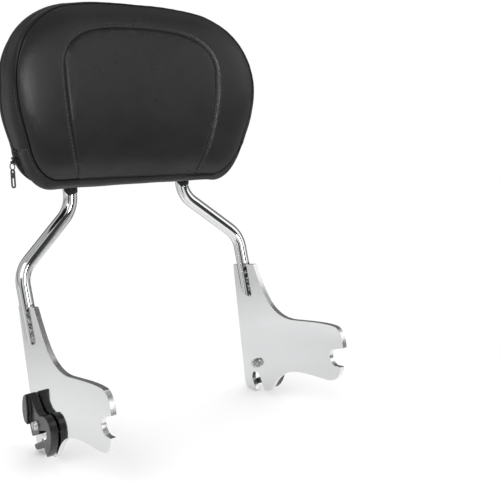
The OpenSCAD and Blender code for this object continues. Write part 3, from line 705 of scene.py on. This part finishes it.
# Middle of the back: how far it stands out, its rings, and its waves
BACK_CROWN, BACK_WAVE = 1.4, 0.24
BACK_RINGS, INNER_SHARE = (0.85, 0.68, 0.5, 0.32, 0.14), 0.98
# Room round the tube where it enters the cover
NOTCH_GAP, NOTCH_STEPS, NOTCH_REACH = 0.9, 24, 20
# Dark tongues round the tops of the tubes: thickness from and to, height, lip, and the arc that
# they cover, in degrees
TONGUE_IN, TONGUE_OUT, TONGUE_HEIGHT, TONGUE_LIP = 0.3, 1.2, 14, 0.4
TONGUE_FROM, TONGUE_ARC, TONGUE_STEPS = -34, 120, 28
# Where along that arc the point hangs, and how far the tongue rises from it to either end
TONGUE_POINT, RISE_NEAR, RISE_FAR = 0.3, 5.5, 3.0
# How far the points hang below the pad's lower edge, along the hoop
LEFT_TONGUE, RIGHT_TONGUE = 15.5, 21.0


def zipped(p):
    """Whether the zip runs behind this point of the outline."""
    return p.y < FLAP_V + ZIP_END


def gusset():
    verts = []
    for p, n in zip(RIM, RIM_OUT):
        front = seam_depth(p) + COVER_T - FRONT_LAP
        rear = ZIP_DEPTH - (ZIP_W / 2 + SHORT_OF_ZIP if zipped(p) else SEAM_HALF)
        under = clamp((-n.y - UNDER_FROM) / UNDER_RANGE, 0.0, 1.0)
        low = FLAP_STEP - (SAG - SAG_FADE * p.x / HALF_W) * under
        low /= 1 + math.exp((p.y - FLAP_V) / FLAP_EDGE)
        low -= CORNER_SAG * max(0.0, 2 * n.x * -n.y) ** CORNER_POWER
        low -= groove(p.y - FLAP_V - LIP_ABOVE, LIP, LIP_W)
        front_furrow = FRONT_FURROW + FRONT_MORE * clamp(max(-LEFT_GAIN * n.x, n.y), 0.0, 1.0)
        for inwards, depth in FRONT_TUCK:
            verts.append(at(p - n * inwards, front + depth))
        for r in range(SIDE_ROWS):
            s = ease(r / (SIDE_ROWS - 1))
            d = front + (rear - front) * s
            out = bulge_at(n, s) - low * math.sin(math.pi * s) ** LOW_POWER
            out -= (groove(d - front, front_furrow, SIDE_FURROW_W)
                    + groove(rear - d, REAR_FURROW, SIDE_FURROW_W))
            out += (SIDE_PUCKER * pucker((p.x - p.y, d * 2.0), d - front)
                    + SIDE_WAVE * cloud(p.x / SIDE_WAVE_LONG, p.y / SIDE_WAVE_LONG,
                                        d / SIDE_WAVE_LONG))
            verts.append(at(p + n * out, d))
        verts.append(at(p + n * (rim_of(n) - REAR_TUCK), rear + REAR_LAP))
    rows = SIDE_ROWS + len(FRONT_TUCK) + 1
    faces = grid_faces(RIM_N, rows, wrap_rows=True)
    obj = piece("pad_side", verts, faces, LEATHER_SHADED_SIDE, ["pad_gusset"])


def back_cover():
    outer, inner = [], []
    for k in range(BACK_STEPS + 1):
        a = math.pi / 2 * k / BACK_STEPS
        ring_out, ring_in = [], []
        for p, n in zip(RIM, RIM_OUT):
            front = ZIP_DEPTH + SEAM_HALF + (ZIP_W / 2 if zipped(p) else 0)
            d = front + (COVER_REAR - front) * math.sin(a)
            out = rim_of(n) - COVER_ROUND * (1 - math.cos(a))
            out -= groove(d - front, REAR_FURROW, REAR_FURROW)
            out += COVER_WAVE * cloud(p.x / COVER_WAVE_LONG, p.y / COVER_WAVE_LONG,
                                      d / COVER_WAVE_DEEP)
            ring_out.append(at(p + n * out, d))
            ring_in.append(at(p + n * (out - COVER_T), min(d, COVER_REAR - COVER_T)))
        outer.append(ring_out)
        inner.append(ring_in)
    rear_ring = [p + n * (rim_of(n) - COVER_ROUND) for p, n in zip(RIM, RIM_OUT)]
    for share in BACK_RINGS:
        rise = BACK_CROWN * (1 - share * share) + BACK_WAVE * cloud(share * 3, 1.0, 2.0)
        outer.append([at(q * share, COVER_REAR + rise) for q in rear_ring])
        inner.append([at(q * share * INNER_SHARE, COVER_REAR - COVER_T) for q in rear_ring])
    rings = outer[::-1] + inner
    verts = [v for ring in rings for v in ring]
    faces = grid_faces(len(rings), RIM_N, wrap_cols=True)
    last = (len(rings) - 1) * RIM_N
    for start, d in ((0, COVER_REAR + BACK_CROWN), (last, COVER_REAR - COVER_T)):
        faces += [(len(verts), start + c, start + (c + 1) % RIM_N) for c in range(RIM_N)]
        verts.append(at((0, 0), d))
    obj = piece("pad_back", verts, faces, LEATHER_SHADED_SIDE, ["pad_back_cover"])
    cutters = [tube_notch(side) for side in (-1, 1)]
    for cutter in cutters:
        cut = obj.modifiers.new("notch", "BOOLEAN")
        cut.operation = "DIFFERENCE"
        cut.solver = "EXACT"
        cut.object = cutter
    bake(obj)
    for cutter in cutters:
        bpy.data.objects.remove(cutter)
    shade(obj.data)


def on_leg(side, u, x=0.0, d=0.0):
    """A point beside a leg's axis, at height u on the hoop, in millimetres."""
    return PAD_MID + Vector((side * LEG_GAP + x, 0, 0)) + u * HOOP_UP + (HOOP_DEPTH + d) * PAD_D


def tube_notch(side):
    """A round-ended prism along the leg, open towards the front."""
    r, front = TUBE_R + NOTCH_GAP, -2 * TUBE_R
    half_turn = [math.pi * i / NOTCH_STEPS for i in range(NOTCH_STEPS + 1)]
    arc = [(-r * math.cos(a), r * math.sin(a)) for a in half_turn]
    section = [(-r, front)] + arc + [(r, front)]
    verts = [on_leg(side, -HALF_H + u, x, d) * MM
             for u in (-NOTCH_REACH, NOTCH_REACH) for x, d in section]
    n = len(section)
    faces = grid_faces(2, n, wrap_cols=True) + end_caps(n, 2)
    return add("notch_cutter", new_mesh("notch_cutter", verts, faces))


def dark_tongue(tag, side, foot):
    """A dark leatherette tongue, drawn to a point round the front of the tube, where the tube's
    top shows dark; foot is its lowest place.
    """
    turn = math.radians(VIEW_TURN)
    towards = Vector((-math.sin(turn), -math.cos(turn), 0))
    across = Vector((math.cos(turn), -math.sin(turn), 0))
    top = foot + TONGUE_HEIGHT
    verts = []
    for i in range(TONGUE_STEPS + 1):
        f = i / TONGUE_STEPS
        a = math.radians(TONGUE_FROM + TONGUE_ARC * f)
        if f < TONGUE_POINT:
            low = foot + RISE_NEAR * (TONGUE_POINT - f) / TONGUE_POINT
        else:
            low = foot + RISE_FAR * (f - TONGUE_POINT) / (1 - TONGUE_POINT)
        ring = ((TONGUE_OUT, top), (TONGUE_OUT, low + TONGUE_LIP), (TONGUE_IN, low), (TONGUE_IN, top))
        for r, u in ring:
            spoke = (towards * math.cos(a) + across * math.sin(a)) * (TUBE_R + r)
            verts.append((on_leg(side, u) + spoke) * MM)
    n = len(ring)
    faces = grid_faces(TONGUE_STEPS + 1, n, wrap_cols=True) + end_caps(n, TONGUE_STEPS + 1)
    piece("dark_tongue_" + tag, verts, faces, LEATHER_SHADED_SIDE)


# ---------------------------------------------------------------- sewing and zip

# A stitch along its length: share of the length, size and height in radii
STITCH_SHAPE = [(0.0, 0.35, -0.9), (0.18, 0.85, -0.1), (0.5, 1.0, 0.15), (0.82, 0.85, -0.1),
                (1.0, 0.35, -0.9)]
STITCH_SIDES = 6
# Marks from one stitch to the next, and those that a stitch spans
MARKS, MARKS_SEWN = 10, 8
SEWN_ARCH, ARCH_ENDS = 500, 6
SEWN_RIM = slice(4, -60)
FLAP_MARKS = 12
# Length, gap and radius of the stitches in the three kinds of rows
ARCH_STITCH, EDGE_STITCH, FLAP_STITCH = (3.4, 0.8, 0.34), (3.0, 0.9, 0.27), (2.8, 0.8, 0.3)
# How far the threads of the arch and the flap stand out, and the edge's lie in
ARCH_PROUD, FLAP_PROUD, EDGE_SUNK = 0.15, 0.1, 0.55
# Place of the edge's row on the gusset's bulge
EDGE_SHARE = 0.06
# How far the rows of the edge and the flap lie from the seams beside them
EDGE_BACK, FLAP_ROW, FLAP_FRONT, FLAP_REAR = 1.7, 2.2, 4.5, 3.5
# Zip: profile of both tapes (depth from the middle, height), and the teeth
TAPE_PROFILE = [(-4.3, -1.8), (-4.3, -0.4), (-0.9, 0.55), (0.9, 0.55), (2.2, 0.2), (2.2, -1.6)]
TEETH_OUT, TOOTH_PITCH, TOOTH_HALF = 0.75, 0.95, 0.33
TOOTH_REACH, TOOTH_RISE = (-0.35, 1.15), (-0.5, 0.35)
# The pull: barrel (place along the pin and radius), ring that hangs from it, and tab below
BARREL_RINGS = ((-1.2, 1.58), (-1.1, 1.7), (1.1, 1.7), (1.2, 1.58))
BARREL_SIDES = 24
RING_R, RING_WIRE, RING_TOP, RING_TURN = 3.4, 0.55, 1.3, 25
TAB_HALF, TAB_WIRE, TAB_THICK, TAB_TURN = 1.75, 1.05, 0.62, 45
WEB_HALF, WEB_THICK, WEB_SPAN = 1.3, 0.45, (0.05, 0.62)
LINK_N, LINK_SIDES = 56, 10
# Faces of a block whose corners are listed by three nested pairs
BLOCK = [(0, 1, 3, 2), (4, 6, 7, 5), (0, 4, 5, 1), (2, 3, 7, 6), (0, 2, 6, 4), (1, 5, 7, 3)]
UP = Vector((0, 0, 1))


def capsule(a, b, up, r):
    """Vertices and faces of a thread lying from a to b, sunk at both ends."""
    along = (b - a).normalized()
    across = along.cross(up).normalized()
    lift = across.cross(along).normalized()
    verts = []
    for f, size, rise in STITCH_SHAPE:
        mid = a.lerp(b, f) + lift * r * rise
        for k in range(STITCH_SIDES):
            t = 2 * math.pi * k / STITCH_SIDES
            verts.append(mid + (across * math.cos(t) + lift * math.sin(t)) * r * size)
    faces = grid_faces(len(STITCH_SHAPE), STITCH_SIDES, wrap_cols=True)
    return verts, faces + end_caps(STITCH_SIDES, len(STITCH_SHAPE))


def stitches(name, line, up, stitch, gap, r):
    """A row of stitches of radius r along a line of points."""
    verts, faces = [], []
    count = int(length_of(line) / MM / (stitch + gap))
    marks = resample(line, count * MARKS + 1)
    for i in range(count):
        a, b = marks[i * MARKS], marks[i * MARKS + MARKS_SEWN]
        join(verts, faces, *capsule(a, b, up, r * MM))
    piece(name, verts, faces, THREAD)


def sew():
    arch = resample(OVER_ARCH, SEWN_ARCH)
    out = []
    for i, p in enumerate(arch):
        t = (arch[min(i + 1, SEWN_ARCH - 1)] - arch[max(i - 1, 0)]).normalized()
        q = p + Vector((t.y, -t.x)) * TOPSTITCH
        out.append(at(q, face_depth(q) + topstitch_dip(TOPSTITCH) - ARCH_PROUD))
    stitches("horseshoe_stitches", out[ARCH_ENDS:-ARCH_ENDS], -PAD_D, *ARCH_STITCH)
    edge = []
    for p, n in zip(RIM[SEWN_RIM], RIM_OUT[SEWN_RIM]):
        d = seam_depth(p) + COVER_T + EDGE_BACK
        edge.append(at(p + n * (bulge_at(n, EDGE_SHARE) - EDGE_SUNK), d))
    stitches("edge_stitches", edge, -PAD_D, *EDGE_STITCH)
    for side, tag in ((-1, "left"), (1, "right")):
        own = [i for i in range(RIM_N) if RIM[i].x * side > 0]
        spot = min(own, key=lambda i: abs(RIM[i].y - FLAP_V - FLAP_ROW))
        p, n = RIM[spot], RIM_OUT[spot]
        seam = seam_depth(p)
        front, rear = seam + FLAP_FRONT, ZIP_DEPTH - FLAP_REAR
        row = []
        for k in range(FLAP_MARKS):
            d = front + (rear - front) * k / (FLAP_MARKS - 1)
            s = (d - seam - COVER_T) / (ZIP_DEPTH - seam - COVER_T)
            row.append(at(p + n * (bulge_at(n, s) + FLAP_PROUD), d))
        stitches("flap_stitches_" + tag, row, n.x * PAD_X + n.y * PAD_V, *FLAP_STITCH)


def zip_run():
    """Outline points and normals under the zip, from the left corner to the right one."""
    run = [(p, n) for p, n in zip(RIM, RIM_OUT) if p.y < FLAP_V + TAPE_END]
    return sorted(run, key=lambda e: math.atan2(e[0].x, HALF_H * 2 + e[0].y))


def zip_parts():
    run = zip_run()
    verts = [at(p + n * (rim_of(n) + out), ZIP_DEPTH + depth)
             for p, n in run for depth, out in TAPE_PROFILE]
    sides = len(TAPE_PROFILE)
    faces = grid_faces(len(run), sides, wrap_cols=True) + end_caps(sides, len(run))
    piece("zip_tapes", verts, faces, TAPE, ["zip_chain"])
    line = [p + n * (rim_of(n) + TEETH_OUT) for p, n in run]
    count = int(length_of(line) / TOOTH_PITCH)
    marks = resample(line, count)
    verts, faces = [], []
    for i in range(count - 1):
        t = (marks[i + 1] - marks[i]).normalized()
        n = Vector((t.y, -t.x))
        side = 1 if i % 2 else -1
        join(verts, faces, [at(marks[i] + t * along + n * rise, ZIP_DEPTH + side * reach)
                            for along in (-TOOTH_HALF, TOOTH_HALF)
                            for reach in TOOTH_REACH for rise in TOOTH_RISE], BLOCK)
    piece("zip_teeth", verts, faces, BLACK_METAL, smooth=False)


def link(centre, across, half_w, half_l, wire, thick):
    """A flat link: a rod bent to a long ring, hanging in the plane of across and the vertical."""
    face = across.cross(UP)
    straight = half_l - half_w
    verts = []
    for i in range(LINK_N):
        a = 2 * math.pi * i / LINK_N
        out = across * math.cos(a) + UP * math.sin(a)
        mid = out * half_w + UP * (straight if math.sin(a) > 0 else -straight)
        for k in range(LINK_SIDES):
            b = 2 * math.pi * k / LINK_SIDES
            rod = out * wire * math.cos(b) + face * thick * math.sin(b)
            verts.append(centre + (mid + rod) * MM)
    return verts, grid_faces(LINK_N, LINK_SIDES, wrap_cols=True, wrap_rows=True)


def turned(degrees):
    """A level direction, turned from straight back towards the left."""
    a = math.radians(degrees)
    return Vector((-math.sin(a), math.cos(a), 0))


def zip_tab():
    joints = frame["record"]["behaviour"]["joints"]
    pin = Vector(next(j for j in joints if j["name"] == "zip_pull_swing")["pos_m"])
    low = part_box("zip_pull")[0][2]
    verts = []
    for along, r in BARREL_RINGS:
        for k in range(BARREL_SIDES):
            a = 2 * math.pi * k / BARREL_SIDES
            spoke = Vector((1, 0, 0)) * math.cos(a) + UP * math.sin(a)
            verts.append(pin + (PAD_D * along + spoke * r) * MM)
    rings = len(BARREL_RINGS)
    faces = grid_faces(rings, BARREL_SIDES, wrap_cols=True) + end_caps(BARREL_SIDES, rings)
    join(verts, faces, *link(pin - UP * (RING_TOP + RING_R) * MM, turned(RING_TURN),
                             RING_R, RING_R + 0.01, RING_WIRE, RING_WIRE))
    top = pin.z - (RING_TOP + 2 * RING_R - 1.5 * RING_WIRE) * MM
    half_l = (top - low) / 2 / MM
    mid = Vector((pin.x, pin.y, (top + low) / 2))
    across = turned(TAB_TURN)
    join(verts, faces, *link(mid, across, TAB_HALF, half_l - TAB_WIRE, TAB_WIRE, TAB_THICK))
    face = across.cross(UP)
    web = [mid + (across * side * WEB_HALF + face * depth) * MM + UP * (rise * half_l * MM)
           for rise in WEB_SPAN for side in (-1, 1) for depth in (-WEB_THICK, WEB_THICK)]
    join(verts, faces, web, BLOCK)
    piece("zip_tab_detail", verts, faces, BLACK_METAL, ["zip_pull"], body="zip_tab")


zip_tab()
centre_panel()
arch_panel()
gusset()
back_cover()
dark_tongue("left", -1, -HALF_H - LEFT_TONGUE)
dark_tongue("right", 1, -HALF_H - RIGHT_TONGUE)
sew()
zip_parts()

# ---------------------------------------------------------------- hard pieces

# Widths of the rounded edges, and the size of the levers' voxels
PLATE_EDGE, NUT_EDGE, SCREW_EDGE, LEVER_VOXEL = 1.2, 0.35, 0.3, 0.45

for tag in ("left", "right"):
    softened("plate_" + tag, "side_plate_" + tag, PLATE_EDGE, PLATE,
             segments=4, rim=PLATE_RIM_PAINTED_HIGHLIGHT)
    moulded("grip_" + tag, "latch_lever_" + tag, LEVER_VOXEL, MOULD)
    softened("nut_" + tag, "latch_nut_" + tag, NUT_EDGE, PLATED)
    softened("screw_" + tag, "latch_screw_" + tag, SCREW_EDGE, PLATED)
    paint("weld_beads_" + tag, WELD_SHADE_AND_GLINTS)
    for part in ("latch_bush_", "latch_spring_washer_", "latch_washer_"):
        paint(part + tag, PLATED)
paint("hoop_tube", CHROME)
for part in ("tube_saddles", "saddle_screws"):
    paint(part, PLATED)
paint("pad_foam", FOAM)
paint("pad_board", BOARD)
paint("zip_slider", BLACK_METAL)

# ---------------------------------------------------------------- stage, light and camera

# Half the floor's side and its middle, in metres, and the distances where it fades away
FLOOR_HALF, FLOOR_Y = 1.6, 0.1
FLOOR_FADE = (0.26, 0.50)
LIGHT_AIM = (0, 0.15, 0.15)
# Strength of the soft light that reaches the object from all round
ROOM_LIGHT = 0.95
# What shiny surfaces see round the room: degrees from the front towards the right, and level
WALLS = [((a + 180) / 360, level) for a, level in (
    (-180, 0.22), (-165, 0.22), (-161, 0.80), (-136, 0.80), (-126, 0.34), (-112, 0.85),
    (-62, 1.0), (-55, 0.04), (-43, 0.04), (-36, 1.0), (-14, 1.0), (0, 0.06), (28, 0.08),
    (38, 0.20), (54, 0.58), (80, 0.80), (96, 0.22), (180, 0.22))]
# And from straight down to straight up
HEIGHTS = [(0.0, 1.0), (0.47, 1.0), (0.52, 0.6), (0.58, 0.5), (0.66, 0.8), (1.0, 0.7)]
# Camera fitted to the photograph: place in metres, tilt in degrees, lens in millimetres
CAMERA_AT, CAMERA_TILT = (-0.4923, -0.6792, 0.3624), 75.9
SENSOR_W, FOCAL = 36, 61.06


def floor_look(tree, shader):
    """White near the object, fading into the backdrop further out."""
    far = node(tree, "ShaderNodeVectorMath", operation="LENGTH")
    tree.links.new(place(tree), far.inputs[0])
    fade = spread(tree, far.outputs["Value"], FLOOR_FADE, (1.0, 0.0))
    tree.links.new(fade, shader.inputs["Alpha"])


def floor():
    mesh = bpy.data.meshes.new("floor")
    s = FLOOR_HALF
    mesh.from_pydata([(-s, -s, 0), (s, -s, 0), (s, s, 0), (-s, s, 0)], [], [(0, 1, 2, 3)])
    mesh.materials.append(material("floor_white", grey(0.92), 0.8, floor_look))
    obj = add("floor", mesh)
    obj.location = (0, FLOOR_Y, CAD_BOX[0][2])


def area(name, place_at, target, size, power):
    light = bpy.data.lights.new(name, "AREA")
    light.shape = "RECTANGLE"
    light.size, light.size_y = size
    light.energy = power
    obj = add(name, light)
    obj.location = place_at
    aim = Vector(target) - Vector(place_at)
    obj.rotation_euler = aim.to_track_quat("-Z", "Y").to_euler()


def ramp(tree, source, stops):
    n = tree.nodes.new("ShaderNodeValToRGB")
    elements = n.color_ramp.elements
    while len(elements) < len(stops):
        elements.new(0.5)
    for element, (where, level) in zip(elements, stops):
        element.position = where
        element.color = (*grey(level), 1)
    tree.links.new(source, n.inputs[0])
    return n.outputs[0]


def either(tree, choose, first, second):
    """The second shader where choose is 1, else the first."""
    n = tree.nodes.new("ShaderNodeMixShader")
    for source, socket in zip((choose, first, second), n.inputs):
        tree.links.new(source, socket)
    return n.outputs[0]


def world():
    """White to the camera, plain soft light on the object, and darker walls in its reflections."""
    w = bpy.data.worlds.new("studio")
    bpy.context.scene.world = w
    w.use_nodes = True
    tree = w.node_tree
    tree.nodes.clear()
    out = tree.nodes.new("ShaderNodeOutputWorld")
    path = tree.nodes.new("ShaderNodeLightPath")
    seen = node(tree, "ShaderNodeBackground", Color=(1, 1, 1, 1), Strength=1.0)
    lit = node(tree, "ShaderNodeBackground", Color=(1, 1, 1, 1), Strength=ROOM_LIGHT)
    mirror = tree.nodes.new("ShaderNodeBackground")
    split = tree.nodes.new("ShaderNodeSeparateXYZ")
    tree.links.new(tree.nodes.new("ShaderNodeTexCoord").outputs["Generated"], split.inputs[0])
    forward = node(tree, "ShaderNodeMath", operation="MULTIPLY")
    forward.inputs[1].default_value = -1
    tree.links.new(split.outputs["Y"], forward.inputs[0])
    turn = node(tree, "ShaderNodeMath", operation="ARCTAN2")
    tree.links.new(split.outputs["X"], turn.inputs[0])
    tree.links.new(forward.outputs[0], turn.inputs[1])
    walls = ramp(tree, spread(tree, turn.outputs[0], (-math.pi, math.pi), (0, 1)), WALLS)
    height = ramp(tree, spread(tree, split.outputs["Z"], (-1, 1), (0, 1)), HEIGHTS)
    tree.links.new(walls, mirror.inputs["Color"])
    tree.links.new(height, mirror.inputs["Strength"])
    inner = either(tree, path.outputs["Is Glossy Ray"], lit.outputs[0], mirror.outputs[0])
    pick = either(tree, path.outputs["Is Camera Ray"], inner, seen.outputs[0])
    tree.links.new(pick, out.inputs["Surface"])


floor()
world()
area("key", (-2.0, -1.2, 2.2), LIGHT_AIM, size=(1.6, 1.6), power=22)
area("fill", (2.0, -1.6, 1.2), LIGHT_AIM, size=(1.6, 1.6), power=9)
area("top", (0.1, 0.9, 2.6), LIGHT_AIM, size=(1.8, 1.2), power=10)
area("strip", (0.24, -1.9, 0.62), (-0.1, 0.15, 0.3), size=(0.26, 1.0), power=14)

lens = bpy.data.cameras.new("photo_camera")
lens.sensor_width = SENSOR_W
lens.lens = FOCAL
lens.clip_start = 0.01
camera = add("photo_camera", lens)
camera.location = CAMERA_AT
camera.rotation_euler = (math.radians(CAMERA_TILT), 0, math.radians(-VIEW_TURN))
bpy.context.scene.camera = camera
bpy.context.scene.view_settings.view_transform = "Standard"
